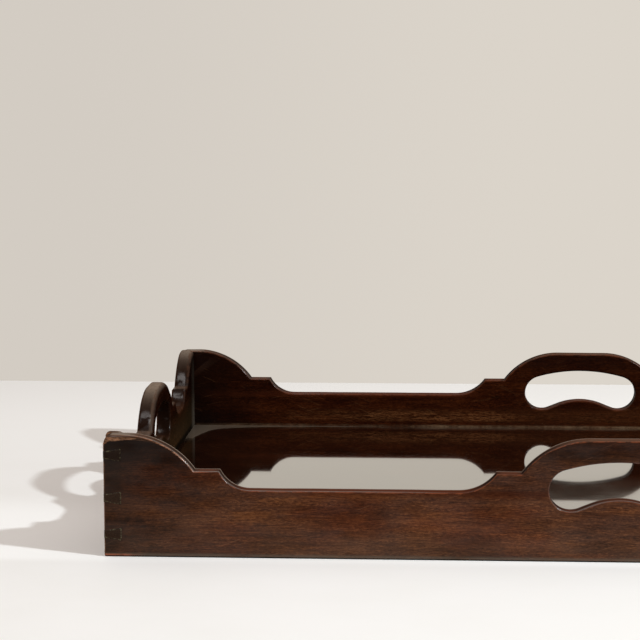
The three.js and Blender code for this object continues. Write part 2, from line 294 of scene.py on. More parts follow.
def make_board(name, pattern, seed, outer_rub, inner_rub, place):
    """A sawn board with rubbed arrises. outer_rub and inner_rub give the arris's radius at a
    point of its outline, and place turns (along, in from the outer face, up) into the tray's
    frame. Its wear holds how near a point is to an arris, whether it lies on the sawn edge, and
    whether that edge is level there and faces up."""
    shape = bmesh.new()
    wear = shape.verts.layers.float_vector.new("wear")
    outline = wavering(board_outline(pattern), seed, rail_height - 1)
    rings = []
    for loop in (outline, wavering(hand_hole(pattern), seed, 0)):
        normals = inward_normals(loop)
        loop_rings = []
        for rub_at, face_depth, sign in ((outer_rub, 0, 1), (inner_rub, board_thickness, -1)):
            side_rings = []
            for k in range(-1, rub_steps + 2):
                angle = math.pi / 2 * min(max(k, 0), rub_steps) / rub_steps
                ring = []
                for point, normal in zip(loop, normals):
                    rub = rub_at(point)
                    margin = rub_margin * min(rub, 1)
                    inset = rub * (1 - math.sin(angle)) + (margin if k < 0 else 0)
                    depth = rub * (1 - math.cos(angle)) + (margin if k > rub_steps else 0)
                    spot = point + normal * inset
                    vert = shape.verts.new(place(spot.x, face_depth + sign * depth, spot.y) * MM)
                    rubbed = math.sin(2 * angle) if rub > least_rub else 0
                    level = max(0, -normal.normalized().y) ** level_sharpness
                    vert[wear] = Vector((rubbed, math.sin(angle) ** 2, level))
                    ring.append(vert)
                side_rings.append(ring)
            loop_rings += side_rings if sign > 0 else list(reversed(side_rings))
        rings.append(loop_rings)
        skin(shape, loop_rings)
    for end in (0, -1):
        edges = []
        for loop_rings in rings:
            ring = loop_rings[end]
            for pair in zip(ring, ring[1:] + ring[:1]):
                edges.append(shape.edges.get(pair) or shape.edges.new(pair))
        bmesh.ops.triangle_fill(shape, use_beauty=True, edges=edges)
    bmesh.ops.remove_doubles(shape, verts=shape.verts, dist=1e-6)
    bmesh.ops.recalc_face_normals(shape, faces=shape.faces)
    return as_object(name, shape)


def make_block(corner, opposite):
    """A plain block between two opposite corners. It only cuts other pieces."""
    shape = bmesh.new()
    bmesh.ops.create_cube(shape, size=1)
    for vert in shape.verts:
        spans = zip(corner, opposite, vert.co)
        vert.co = Vector([(a + b) / 2 + c * abs(b - a) for a, b, c in spans]) * MM
    return as_object("cutter", shape)


def make_wedge(outline, near, far):
    """An outline in x and z pushed through from y = near to y = far. It only cuts other pieces."""
    shape = bmesh.new()
    ends = [[shape.verts.new(Vector((x, y, z)) * MM) for x, z in outline] for y in (near, far)]
    return closed("cutter", shape, ends)


def carve(piece, tool, operation="DIFFERENCE"):
    """Cuts the tool out of the piece, or joins it on, and clears the tool away."""
    cut = piece.modifiers.new("cut", "BOOLEAN")
    cut.operation = operation
    cut.solver = "EXACT"
    cut.object = tool
    bpy.context.view_layer.update()
    evaluated = piece.evaluated_get(bpy.context.evaluated_depsgraph_get())
    mesh = bpy.data.meshes.new_from_object(evaluated)
    piece.modifiers.clear()
    piece.data = mesh
    bpy.data.objects.remove(tool)


def wear_spots(piece):
    """Every place on a sawn piece, with its wear."""
    wear = piece.data.attributes["wear"].data
    return [(v.co.copy(), wear[i].vector.copy()) for i, v in enumerate(piece.data.vertices)]


def worn_again(piece, spots):
    """Gives a carved piece back its wear, by the places where the sawn board had it."""
    tree = kdtree.KDTree(len(spots))
    for i, (place, _) in enumerate(spots):
        tree.insert(place, i)
    tree.balance()
    mesh = piece.data
    if "wear" in mesh.attributes:
        mesh.attributes.remove(mesh.attributes["wear"])
    wear = mesh.attributes.new("wear", "FLOAT_VECTOR", "POINT")
    for i, vert in enumerate(mesh.vertices):
        _, nearest, distance = tree.find(vert.co)
        wear.data[i].vector = spots[nearest][1] if distance < wear_reach * MM else (0, 0, 0)


def dress(piece, material, sharpest):
    """Gives a piece its finish. Flat faces stay flat, and arrises shade round where they turn
    by less than sharpest."""
    mesh = piece.data
    mesh.materials.append(material)
    mesh.shade_smooth()
    mesh.set_sharp_from_angle(angle=math.radians(sharpest))
    weighted = piece.modifiers.new("flat faces", "WEIGHTED_NORMAL")
    weighted.keep_sharp = True
    weighted.weight = flat_weight


foot_height = 3
foot_rub = 0.4
upright_rub = 1
rub_patch = 17
corner_reach = 17
outer_round, outer_strays, corner_round = 1.1, 0.35, 2
inner_round, inner_strays = 1.6, 0.3


def near_corner(point, half):
    """1 at the ends of a board, 0 a little past its raised corners."""
    return math.exp(-((half - abs(point.x)) / corner_reach) ** 4)


def outer_rub_at(point):
    """The outer arris is rubbed most at the raised corners."""
    if point.y < foot_height:
        return foot_rub
    if abs(point.x) > long_half - same_point:
        return upright_rub
    stray = outer_strays * waver_at(point, rub_patch, seed=3)
    return outer_round + stray + corner_round * near_corner(point, long_half)


def inner_rub_at(point):
    """The inner arris is sharp where it meets the end boards and rubbed elsewhere."""
    if point.y < foot_height or abs(point.x) > long_half - same_point:
        return 0
    return inner_round + inner_strays * waver_at(point, rub_patch, seed=7)


pin_wide_end = 9.4
pin_narrow_end = 5.2
pin_heights = [16.4, 42.9, 74.4]
joint_gap = 0.07
overrun = 5
base_play = 0.3
rebate_wall = long_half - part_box("base_board")[1].x / MM - base_play


def socket_outline(height):
    """The socket for a pin between two tails, narrow outside and wide where the pin begins."""
    rise = (pin_wide_end - pin_narrow_end) / 2 / board_thickness
    narrow = pin_narrow_end / 2 + joint_gap - rise * overrun
    wide = pin_wide_end / 2 + joint_gap + rise * joint_gap
    far = board_thickness + joint_gap
    return [(-overrun, height - narrow), (far, height - wide),
            (far, height + wide), (-overrun, height + narrow)]


def paint(red, green, blue):
    """A colour as a colour card gives it, 0 to 255, in the linear light that the shader wants."""
    return tuple(
        (c / 255 / 12.92 if c <= 10 else ((c / 255 + 0.055) / 1.055) ** 2.4)
        for c in (red, green, blue)
    ) + (1,)


class Value:
    """A socket of a finish. Sums written on it add their Math nodes to that finish."""

    def __init__(self, finish, socket):
        self.finish = finish
        self.socket = socket

    def of(self, output):
        """Another output of the same node."""
        return Value(self.finish, self.socket.node.outputs[output])

    def __add__(self, other):
        return self.finish.math("ADD", self, other)

    __radd__ = __add__

    def __mul__(self, other):
        return self.finish.math("MULTIPLY", self, other)

    __rmul__ = __mul__

    def __sub__(self, other):
        return self.finish.math("SUBTRACT", self, other)

    def __rsub__(self, other):
        return self.finish.math("SUBTRACT", other, self)

    def __truediv__(self, other):
        return self.finish.math("DIVIDE", self, other)

    def __abs__(self):
        return self.finish.math("ABSOLUTE", self)

    def at_least(self, other):
        return self.finish.math("MAXIMUM", self, other)

    def rise(self, low, high):
        """0 below low, 1 above high and a soft step between. Turned round, it falls."""
        inputs = {"Value": self, "From Min": low, "From Max": high}
        return self.finish.node("ShaderNodeMapRange", {"interpolation_type": "SMOOTHSTEP"}, inputs)

    def mix(self, share, other, blend="MIX"):
        """This colour, with a share of the other."""
        return self.finish.mix(share, self, other, blend)

    def under(self, *layers):
        """This colour under layers of others, the lowest first, each with its share."""
        colour = self
        for share, other in layers:
            colour = colour.mix(share, other)
        return colour


class Finish:
    """A finish of its own name, put together node by node. x, y and z are where a point lies in
    the tray's own frame, in millimetres."""

    def __init__(self, name, constants):
        self.material = bpy.data.materials.new(name)
        self.material.use_nodes = True
        self.tree = self.material.node_tree
        self.shader = self.tree.nodes["Principled BSDF"]
        for socket, value in constants.items():
            self.shader.inputs[socket].default_value = value
        metres = self.node("ShaderNodeTexCoord", {}, {}, "Object")
        inputs = {0: metres, "Scale": 1 / MM}
        scaled = self.node("ShaderNodeVectorMath", {"operation": "SCALE"}, inputs)
        self.x = self.node("ShaderNodeSeparateXYZ", {}, {0: scaled})
        self.y, self.z = self.x.of("Y"), self.x.of("Z")

    def node(self, kind, settings, inputs, output=0):
        """Any node: its settings are set first, then its sockets are given links, numbers or
        colours, which are written as a colour card gives them."""
        made = self.tree.nodes.new(kind)
        for setting, value in settings.items():
            if setting == "stops":
                ramp = made.color_ramp.elements
                while len(ramp) < len(value):
                    ramp.new(0.5)
                for element, (position, colour) in zip(ramp, value):
                    element.position = position
                    element.color = paint(*colour)
            else:
                setattr(made, setting, value)
        for socket, value in inputs.items():
            if isinstance(value, Value):
                self.tree.links.new(value.socket, made.inputs[socket])
            else:
                made.inputs[socket].default_value = paint(*value) if isinstance(value, tuple) else value
        return Value(self, made.outputs[output])

    def math(self, operation, *values):
        return self.node("ShaderNodeMath", {"operation": operation}, dict(enumerate(values)))

    def feed(self, **links):
        """Joins values to the shader: base_color feeds Base Color, and so on."""
        for name, value in links.items():
            socket = self.shader.inputs[name.replace("_", " ").title()]
            self.tree.links.new(value.socket, socket)

    def noise(self, x, y, z, detail=2, roughness=0.5):
        """Cloudy noise, about 0.5 on average. Its clouds are one unit of x, y and z long."""
        spot = self.node("ShaderNodeCombineXYZ", {}, {0: x, 1: y, 2: z})
        inputs = {"Vector": spot, "Scale": 1, "Detail": detail, "Roughness": roughness}
        return self.node("ShaderNodeTexNoise", {}, inputs)

    def clouds(self, size, detail=2, roughness=0.5):
        """Noise of the same size in every direction."""
        return self.noise(self.x / size, self.y / size, self.z / size, detail, roughness)

    def ramp(self, value, *stops):
        return self.node("ShaderNodeValToRGB", {"stops": stops}, {0: value})

    def mix(self, share, first, second, blend="MIX"):
        """The first colour, with a share of the second."""
        settings = {"data_type": "RGBA", "blend_type": blend}
        return self.node("ShaderNodeMix", settings, {0: share, 6: first, 7: second}, 2)

    def bump(self, height, depth):
        """Feeds the shader a relief, of a depth in millimetres."""
        inputs = {"Height": height, "Distance": depth * MM, "Strength": 1}
        self.feed(normal=self.node("ShaderNodeBump", {}, inputs))

    def wear(self):
        """How much an arris is rubbed here, and whether the place lies on a sawn, level edge."""
        settings = {"attribute_type": "GEOMETRY", "attribute_name": "wear"}
        stored = self.node("ShaderNodeAttribute", settings, {}, "Vector")
        rubbed = self.node("ShaderNodeSeparateXYZ", {}, {0: stored})
        return rubbed, rubbed.of("Y"), rubbed.of("Z")


def figure(finish, along, across, up):
    """The figure of mahogany: fine fibres, streaks, faint bands and cloudy patches, about 0.5.
    Each layer of fibres slips along the grain, so that no two end in line."""
    sway = (finish.noise(along / 160, across / 70, up / 60) - 0.5) * 9
    level = up + sway
    depth = across + sway
    slip = (finish.noise(along / 300, depth / 2.3, level / 2.3, 1) - 0.5) * 120
    run = along + slip
    fibres = finish.noise(run / 3.4, depth / 0.62, level / 0.62, 4, 0.66)
    streaks = finish.noise(run / 42, depth / 3, level / 3, 3, 0.55)
    bands = finish.noise(along / 190, depth / 11, level / 11, 2)
    patches = finish.noise(along / 60, depth / 40, level / 24, 2)
    mottle = finish.noise(along / 2.4, depth / 1.3, level / 1.3, 2)
    tone = (fibres - 0.5) * 1.25 + (streaks - 0.5) * 0.4 + (bands - 0.5) * 0.25
    tone = tone + (patches - 0.5) * 0.45 + (mottle - 0.5) * 0.35 + 0.5
    open_pores = finish.noise(run / 2.2, depth / 0.5, level / 0.5, 1).rise(0.6, 0.7)
    return tone, fibres, open_pores


def boards_in_polish(name, turned, inside_tint, crest_colours_with_painted_light, arris_colour, gloss):
    """Two hundred years of wax on mahogany boards: browner and drier outside, nearly black
    inside, rubbed on the arrises. turned is for boards whose grain runs along y. The crest, or
    sawn edge, has a colour on the rails, one on the slopes and one on the tops: the slopes are
    darker as painted shade and the tops lighter as painted sheen. gloss is how strong the wax is
    on the faces, on the crest and on the arrises."""
    finish = Finish(name, {"Specular IOR Level": 0, "Coat Roughness": 0.2})
    x, y, z = finish.x, finish.y, finish.z
    along, across = (y, x) if turned else (x, y)
    half_along, half_across = (end_half, long_half) if turned else (long_half, end_half)
    from_end = half_along - abs(along)
    depth_in = half_across - abs(across)
    side = depth_in.rise(board_thickness - 3, board_thickness - 1)
    tone, fibres, open_pores = figure(finish, along, across, z)
    rubbed, sawn, level = finish.wear()

    def grained(length, width, height, detail=3, roughness=0.5):
        return finish.noise(along / length, across / width, z / height, detail, roughness)

    def patchy(length, height, detail=3, roughness=0.5):
        """Patches that go right through the board."""
        return finish.noise(along / length, 0.5, z / height, detail, roughness)

    handled = (z + (patchy(25, 25) - 0.5) * 22).rise(56, 78)
    cornered = (from_end + (patchy(18, 18) - 0.5) * 60).rise(110, 8)
    in_hole = abs(along).rise(54, 50) * z.rise(79, 76)
    knocks = grained(7, 3, 4, 4, 0.75).rise(0.38, 0.6)
    bare = (rubbed * (knocks * 0.8 + 0.25)).rise(0.25, 0.85) * z.rise(2, 6) * (1 - side * 0.5)
    sweep_start, sweep_centre = 15, long_pattern["corner_height"] - corner_sweep_radius
    beside = (from_end - sweep_start).at_least(0)
    above = z - sweep_centre
    below_rim = corner_sweep_radius - finish.math("SQRT", beside * beside + above * above)

    def scratches(slant):
        """Fine scratches that lie at a slant across the grain, in a few places only."""
        lengthwise = along * math.cos(slant) + z * math.sin(slant)
        crosswise = z * math.cos(slant) - along * math.sin(slant)
        lines = finish.noise(lengthwise / 35, crosswise / 0.4, slant, 1).rise(0.66, 0.74)
        places = finish.noise(lengthwise / 28, crosswise / 16, slant, 2).rise(0.52, 0.62)
        return lines * places

    def outside():
        """Brown, with grime at the corners, the handle and the foot, and a corner worn bare."""
        wood = finish.ramp(tone, (0.18, (43, 24, 16)), (0.42, (74, 44, 29)),
                           (0.56, (97, 58, 36)), (0.8, (134, 84, 51)))
        redness = grained(90, 40, 30, 2).rise(0.42, 0.66)
        wood = wood.mix(redness * 0.45, (236, 176, 150), "MULTIPLY")
        foot = (z + (patchy(30, 30) - 0.5) * 16).rise(16, 4)
        grime = (handled * 0.95).at_least(cornered * 0.72).at_least(foot * 0.3)
        grime_colour = (30, 21, 17)
        hollows = patchy(12, 12).rise(0.5, 0.64)
        worn_depth = 5 - from_end * 0.1
        worn_corner = below_rim.rise(worn_depth + 0.5, worn_depth - 0.5) * from_end.rise(44, 12)
        worn_corner = worn_corner * patchy(4, 1.1, 4, 0.75).rise(0.34, 0.62)
        under_rail = z.rise(43.5, 47.5) * z.rise(52, 50) * from_end.rise(90, 110)
        dusty_foot = z.rise(3.8, 1.4) * patchy(40, 40).rise(0.25, 0.5)
        return wood.under(
            (grime, wood.mix(0.75, grime_colour)),
            (handled * cornered * 0.88, (19, 12, 9)),
            (cornered * z.rise(32, 46) * 0.24, grime_colour),
            (hollows * cornered * 0.45, grime_colour),
            (worn_corner * 0.85, (186, 134, 100)),
            (under_rail * 0.55, (64, 28, 14)),
            (z.rise(36, 6) * 0.1, (116, 104, 92)),
            (dusty_foot * 0.6, (104, 92, 80)),
            (scratches(0.35) * 0.3, (150, 108, 80)),
        )

    def scuffed(wood):
        """A band of scuffs above the floor, fewer under the hand, with scratches and specks."""
        band = z.rise(22.6, 26.5) * z.rise(37.5, 29)
        worn_through = patchy(30, 3, 5, 0.8).rise(0.37, 0.58)
        scuffs = grained(6, 3, 0.8, 4, 0.8).rise(0.42, 0.58) * band * (worn_through * 0.85 + 0.15)
        scuffs = scuffs * from_end.rise(60, 200) * (0.3 if turned else 1.1)
        under_hand = from_end.rise(270, 325)
        specks = finish.clouds(1.4, 1).rise(0.74, 0.8)
        return wood.under(
            (under_hand * z.rise(42, 34) * 0.2, (78, 44, 24)),
            (scuffs * (1 - under_hand * 0.75) * 0.85, (130, 82, 48)),
            (scratches(0.22) * 0.45, (120, 82, 54)),
            (scratches(-0.42) * 0.45, (120, 82, 54)),
            (specks * z.rise(34, 20) * 0.6, (126, 106, 78)),
        )

    def seamed(wood):
        """Painted shade along the foot of an end board, dust by its corner joints, and old wax
        along the foot of a long one.
        """
        if turned:
            joint = from_end.rise(board_thickness + 26, board_thickness + 8)
            joint = joint * (z.rise(55, 26) * 0.75 + 0.25)
            return wood.under(
                # The near-black band just above the floor is painted shade in the crease.
                (z.rise(floor_height + 7, floor_height + 3) * 0.85, (12, 9, 6)),
                (joint * z.rise(90, 70), (76, 68, 59)),
            )
        caught = grained(38, 9, 9, 4, 0.7).rise(0.4, 0.62)
        settled = abs(along).rise(160, 130)
        broken = patchy(5, 2, 3, 0.7).rise(0.3, 0.66) * 0.8 + 0.3
        seam = z.rise(floor_height + 2.6, floor_height + 0.8)
        return wood.mix(seam * (caught * 0.28 + settled * 0.28 + 0.08) * broken, (144, 117, 90))

    def inside():
        """Nearly black, redder under the rails, greyer low on the end boards, and darkened towards
        the corners by painted shade.
        """
        wood = finish.ramp(tone, (0.22, (19, 6, 2)), (0.5, (47, 17, 6)), (0.78, (84, 40, 17)))
        rubbed_rail = z.rise(45.4, 47.4) * z.rise(52, 50) * abs(along).rise(80, 110)
        # Towards the inside corners, and most of all low down, the wood is painted near black: painted
        # shade.
        low_corner_shade = from_end.rise(80, 20) * z.rise(75, 25)
        wood = wood.under(
            (rubbed_rail * 0.35, (84, 38, 20)),
            (cornered * 0.85, finish.mix(low_corner_shade, (20, 9, 5), (13, 9, 7))),
            (handled * 0.45, (26, 11, 7)),
        ).mix(1, inside_tint, "MULTIPLY")
        if turned:
            wood = wood.mix(z.rise(60, 30) * 0.8, (46, 34, 20))
        return seamed(scuffed(wood))

    def crest():
        """The sawn edge, with painted shade on its slopes and painted sheen on its level tops, a
        painted grey sheen on the raised corners and, in front, a painted highlight along its inner
        side.
        """
        rail, slope, top = crest_colours_with_painted_light
        # The slope colour is painted shade and the top colour painted sheen, picked by how level the
        # crest lies.
        wood = finish.mix(level, slope, finish.mix(z.rise(54, 80), rail, top))
        # The grey on the tops of the raised corners is painted sheen.
        painted_sheen_on_ends = from_end.rise(60 if turned else 26, 14) * z.rise(83, 89)
        # The light line along the far side of the crest, in front, is a painted highlight.
        painted_far_edge_highlight = depth_in.rise(8.8, 10.4) * y.rise(0, -10) * (1 - level * 0.6)
        painted_far_edge_highlight = painted_far_edge_highlight * from_end.rise(0.4, 0.9)
        return wood.under(
            ((fibres - 0.5) * 1.5 + 0.3, (24, 14, 9)),
            (painted_sheen_on_ends * (0.35 if turned else 0.75), (128, 116, 104)),
            (painted_far_edge_highlight * (0.25 if turned else 0.8), (140, 120, 104)),
        )

    def pin_ends(wood):
        """The end grain of the pins, dark, with crumbs of wax in the joint."""
        pin_end = abs(along).rise(half_along - board_thickness * 0.7, half_along - 0.4)
        pin_end = pin_end * z.rise(82, 80)
        end_grain = finish.mix(fibres.rise(0.35, 0.65), (36, 26, 20), (64, 46, 34))
        wax = finish.noise(x / 2.4, y, z / 2.4, 3, 0.75).rise(0.47, 0.6)
        return wood.under(
            (pin_end, end_grain.mix(z.rise(50, 75) * 0.6, (26, 19, 15))),
            (pin_end * wax * rubbed * 0.8, (112, 104, 80)),
        )

    def tails(wood):
        """Grime over the tails of the joint, their end grain, the raised corner worn bare, and a
        light line down the board's end arris, part rubbed wood and part painted highlight.
        """
        end_zone = from_end.rise(26, 6) * (1 - side) * z.rise(84, 80)
        worn_end_and_highlight = from_end.rise(24, 12) * z.rise(84, 86) * bare * 0.5
        # Down the end arris the light line is partly rubbed wood and partly a painted highlight.
        worn_end_and_highlight = worn_end_and_highlight.at_least(from_end.rise(1.3, 0.4) * rubbed * 0.65)
        rolled = below_rim.rise(0.1, 0.4) * below_rim.rise(2.1, 1.3)
        rolled = rolled * from_end.rise(46, 28) * (1 - side)
        return wood.under(
            (end_zone * (z.rise(24, 50) * 0.3 + 0.2), (40, 29, 22)),
            (from_end.rise(0.3, 0.1), crest().mix((tone - 0.5) * 1.2 + 0.35, (84, 60, 44))),
            (worn_end_and_highlight, (150, 108, 78)),
            (rolled * 0.85, (46, 27, 16)),
        )

    wood = finish.mix(side, outside(), inside())
    wood = wood.under((sawn, crest()), (bare * (0.7 - in_hole * 0.4), arris_colour))
    if not turned:
        swept = z.rise(61, 64) * from_end.rise(72, 60) * (1 - side)
        wood = wood.mix(swept * knocks * rubbed * 0.75, (176, 126, 94))
    heel = from_end.rise(30, 10) * z.rise(2.6, 1.6) * (knocks * 0.6 + 0.4)
    # The near-black line along the very foot of every board is painted contact shadow.
    wood = wood.under((heel, (170, 104, 78)), (z.rise(1.1, 0.5), (20, 17, 14)))
    wood = pin_ends(wood) if turned else tails(wood)
    finish.feed(base_color=wood.mix(open_pores * 0.5, (20, 11, 8)))

    face_gloss, crest_gloss, arris_gloss = gloss
    polish = grained(30, 12, 10)
    waxed = polish.rise(0.3, 0.65) * face_gloss
    if turned:
        handed = finish.clouds(6.5).rise(0.38, 0.62) * z.rise(82, 70) + 0.04
    else:
        handed = abs(depth_in - board_thickness / 2).rise(3.2, 5.4) * 0.95 + 0.05
    waxed = waxed + (crest_gloss * handed - waxed) * sawn
    waxed = waxed + (arris_gloss * (1 - level * 0.75) - waxed) * bare
    if not turned:
        gripped = abs(along).rise(170, 110) * depth_in.rise(9, 7)
        dulled = side * (abs(along).rise(270, 200) * 0.5 + 0.6)
        gripped = gripped.at_least(dulled) * sawn.at_least(rubbed)
        waxed = waxed * (1 - gripped * (1 - in_hole * (1 - side)) * 0.8)
    finish.feed(coat_weight=waxed, roughness=0.6 + (polish - 0.5) * 0.3)
    nicks = finish.clouds(2.2).rise(0.66, 0.76)
    lumps = finish.clouds(9) * (6 if turned else 1)
    finish.bump(fibres * 0.4 - open_pores - nicks * 1.2 + lumps * sawn, 0.05)
    return finish.material


long_board_polish = boards_in_polish(
    "long_board_polish",
    turned=False,
    inside_tint=(255, 255, 255),
    crest_colours_with_painted_light=((92, 44, 25), (48, 27, 18), (100, 69, 52)),
    arris_colour=(128, 68, 42),
    gloss=(0.2, 0.9, 1),
)
for board_name, side, seed in (("front_board", -1, 1), ("back_board", 1, 2)):
    def place_long(along, depth, up, side=side):
        return Vector((-side * along, side * (end_half - depth), up))

    board = make_board(
        board_name + "_sawn", long_pattern, seed, outer_rub_at, inner_rub_at, place_long
    )
    spots = wear_spots(board)
    inner = side * (end_half - board_thickness - overrun)
    for end in (-1, 1):
        for height in pin_heights:
            outline = [(end * (long_half - x), z) for x, z in socket_outline(height)]
            carve(board, make_wedge(outline, side * (end_half + overrun), inner))
    reach_in = long_half - rebate_wall
    carve(board, make_block((-reach_in, side * (end_half - rebate_wall), -overrun),
                            (reach_in, inner, floor_height)))
    worn_again(board, spots)
    dress(board, long_board_polish, board_round_angle)
    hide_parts(board_name)
    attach(board, "root")

# The end boards are the short sides, sawn to the same pattern on a shorter run, with the edge
# rounded over for the hands. Their ends are cut to dovetail pins, narrow on the outer face, which
# are glued between the tails and show as end grain on the long boards.
end_pattern = {
    "half": end_half,
    "corner_height": 90,
    "corner_span": 57.5,
    "handle_height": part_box("left_end_board")[1].z / MM,
    "handle_span": 122,
    "lobe_spacing": 65,
    "worn_top": 9,
}
end_shoulder = end_half - board_thickness
shoulder_gap = 0.06
pin_root = 2
pin_proud = 0.05
pin_crumbled = 0.15
pin_edge_inset = 0.2
pin_wear_inset = 1.1
round_begins, round_full = 58, 80
rail_round, rail_strays, end_corner_round = 1.9, 0.4, 1.8
round_in_hole = 0.4
above_hole = 1


def end_rub_at(point, seed, most_risen):
    """Eased at the low rail, and rounded right over on the raised corners and the handle."""
    if point.y < foot_height:
        return foot_rub
    risen = min(max((point.y - round_begins) / (round_full - round_begins), 0), 1)
    hole_top = end_pattern["handle_height"] - grip_depth + above_hole
    if abs(point.x) < end_pattern["lobe_spacing"] and point.y < hole_top:
        risen *= round_in_hole
    stray = rail_strays * waver_at(point, rub_patch, seed)
    corner = end_corner_round * near_corner(point, end_half) * risen
    return rail_round + most_risen * risen + stray + corner


def end_outer_rub_at(point):
    return end_rub_at(point, seed=11, most_risen=0.4)


def end_inner_rub_at(point):
    return end_rub_at(point, seed=13, most_risen=2.4) if point.y > foot_height else 0


def make_pin(height, end, place):
    """A pin at one end of a board, a little proud of the joint, the edge of its end crumbled."""
    shape = bmesh.new()
    wear = shape.verts.layers.float_vector.new("wear")
    narrow, wide = pin_narrow_end / 2, pin_wide_end / 2
    outline = [Vector(p) for p in ((0, height - narrow), (board_thickness, height - wide),
                                   (board_thickness, height + wide), (0, height + narrow))]
    normals = inward_normals(outline)
    tip = end_half + pin_proud
    rings = []
    for along, inset, rubbed in ((end_shoulder - pin_root, 0, 0), (end_half - pin_crumbled, 0, 1),
                                 (tip, pin_edge_inset, 1), (tip, pin_wear_inset, 0)):
        spots = [p + n * inset for p, n in zip(outline, normals)]
        ring = [shape.verts.new(place(end * along, p.x, p.y) * MM) for p in spots]
        for vert in ring:
            vert[wear] = Vector((rubbed, 0, 0))
        rings.append(ring)
    return closed("pin", shape, rings)


end_board_polish = boards_in_polish(
    "end_board_polish",
    turned=True,
    inside_tint=(190, 200, 215),
    crest_colours_with_painted_light=((66, 41, 28), (36, 20, 12), (146, 127, 111)),
    arris_colour=(76, 45, 28),
    gloss=(0.08, 0.38, 0.2),
)
for board_name, side, seed in (("left_end_board", -1, 3), ("right_end_board", 1, 4)):
    def place_end(along, depth, up, side=side):
        return Vector((side * (long_half - depth), side * along, up))

    board = make_board(
        board_name + "_sawn", end_pattern, seed, end_outer_rub_at, end_inner_rub_at, place_end
    )
    spots = wear_spots(board)
    inner, outer = side * (long_half - board_thickness - overrun), side * (long_half + overrun)
    above = 2 * end_pattern["corner_height"]
    for end in (-1, 1):
        carve(board, make_block((inner, end * (end_shoulder - shoulder_gap), -overrun),
                                (outer, end * (end_half + overrun), above)))
    for end in (-1, 1):
        for height in pin_heights:
            pin = make_pin(height, end, place_end)
            spots += wear_spots(pin)
            carve(board, pin, "UNION")
    reach_in = end_half - rebate_wall
    carve(board, make_block((side * (long_half - rebate_wall), -reach_in, -overrun),
                            (inner, reach_in, floor_height)))
    worn_again(board, spots)
    dress(board, end_board_polish, board_round_angle)
    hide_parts(board_name)
    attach(board, "root")

# The base is one wide board of mahogany, let up into the rebate and polished to a dark mirror
# on its upper side. It is paler and dull in its four corners, and use has dulled it in front.


def raw_mahogany(finish, tone, fibres):
    """The colour of mahogany that was never polished, gone dull and a little grey."""
    raw = finish.ramp(tone, (0.12, (84, 54, 38)), (0.45, (122, 82, 56)),
                      (0.65, (140, 97, 68)), (0.88, (160, 116, 84)))
    return raw.mix(fibres.rise(0.55, 0.35) * 0.3, (70, 52, 42))


def floor_in_polish():
    """The polished side of the base board. Its underside is left as it was planed."""
    finish = Finish("floor_polish", {"Specular IOR Level": 0.5, "Coat Roughness": 0.03})
    x, y, z = finish.x, finish.y, finish.z
    tone, fibres, _ = figure(finish, x, y, z + y * 0.12)
    polished = finish.ramp(tone, (0.2, (13, 5, 2)), (0.5, (29, 13, 7)), (0.8, (56, 29, 15)))
    to_end = long_half - board_thickness - abs(x)
    to_side = end_half - board_thickness - abs(y)
    spread = finish.noise(x / 14, y / 14, 0.5, 3) * 320 + 460
    haze = (to_end * to_side).rise(spread, spread * 0.7)
    haze = haze * to_end.rise(200, 130) * to_side.rise(88, 54)
    haze = haze * (0.97 - to_end.rise(8, 30) * 0.2)
    caught = finish.noise(x / 38, y / 38, 0.5, 4, 0.7).rise(0.4, 0.62) * 0.85 + 0.1
    caught = caught + abs(x).rise(160, 130) * abs(x).rise(40, 80) * 0.4
    rim = to_side.rise(22, 5) * caught
    dull = haze.at_least(rim * 0.4)
    strays = (finish.noise(x / 55, y / 55, 2.5, 4, 0.6) - 0.5) * 150
    used = (abs(x) + strays).rise(260, 60) * (y + strays).rise(10, -60)
    used = used * to_side.rise(60, 120) * (finish.noise(x / 45, y / 45, 1.5, 3) * 1.1 + 0.4)
    dull = dull.at_least(used * 0.32)
    planed = z.rise(floor_height - 0.5, floor_height - 1)
    colour = polished.under(
        (dull * 0.9, (100, 87, 74)), (planed, raw_mahogany(finish, tone, fibres))
    )
    rough = (dull.rise(0.2, 1) * 0.6).at_least(planed)
    finish.feed(base_color=colour, roughness=rough * 0.6 + 0.05, coat_weight=1 - rough)
    finish.bump(finish.noise(x / 60, y / 25, 0, 1), 0.02)
    return finish.material


def refinish(node, material):
    """Gives a piece that the drawing already shapes well its finish."""
    piece = bpy.data.objects[node]
    if not piece.material_slots:
        piece.data.materials.append(material)
    for slot in piece.material_slots:
        slot.material = material


refinish("base_board", floor_in_polish())

# Four fillets of plain mahogany are glued under the base, along the inside of the rebate. They
# were planed by hand, with the lower inner arris taken off, and were never polished.
arris_ease = 0.5
arris_mitre = 0.29
plane_waver = 0.15
plane_waver_length, plane_waver_width = 30, 9
station_step = 20
strip_round_angle = 20


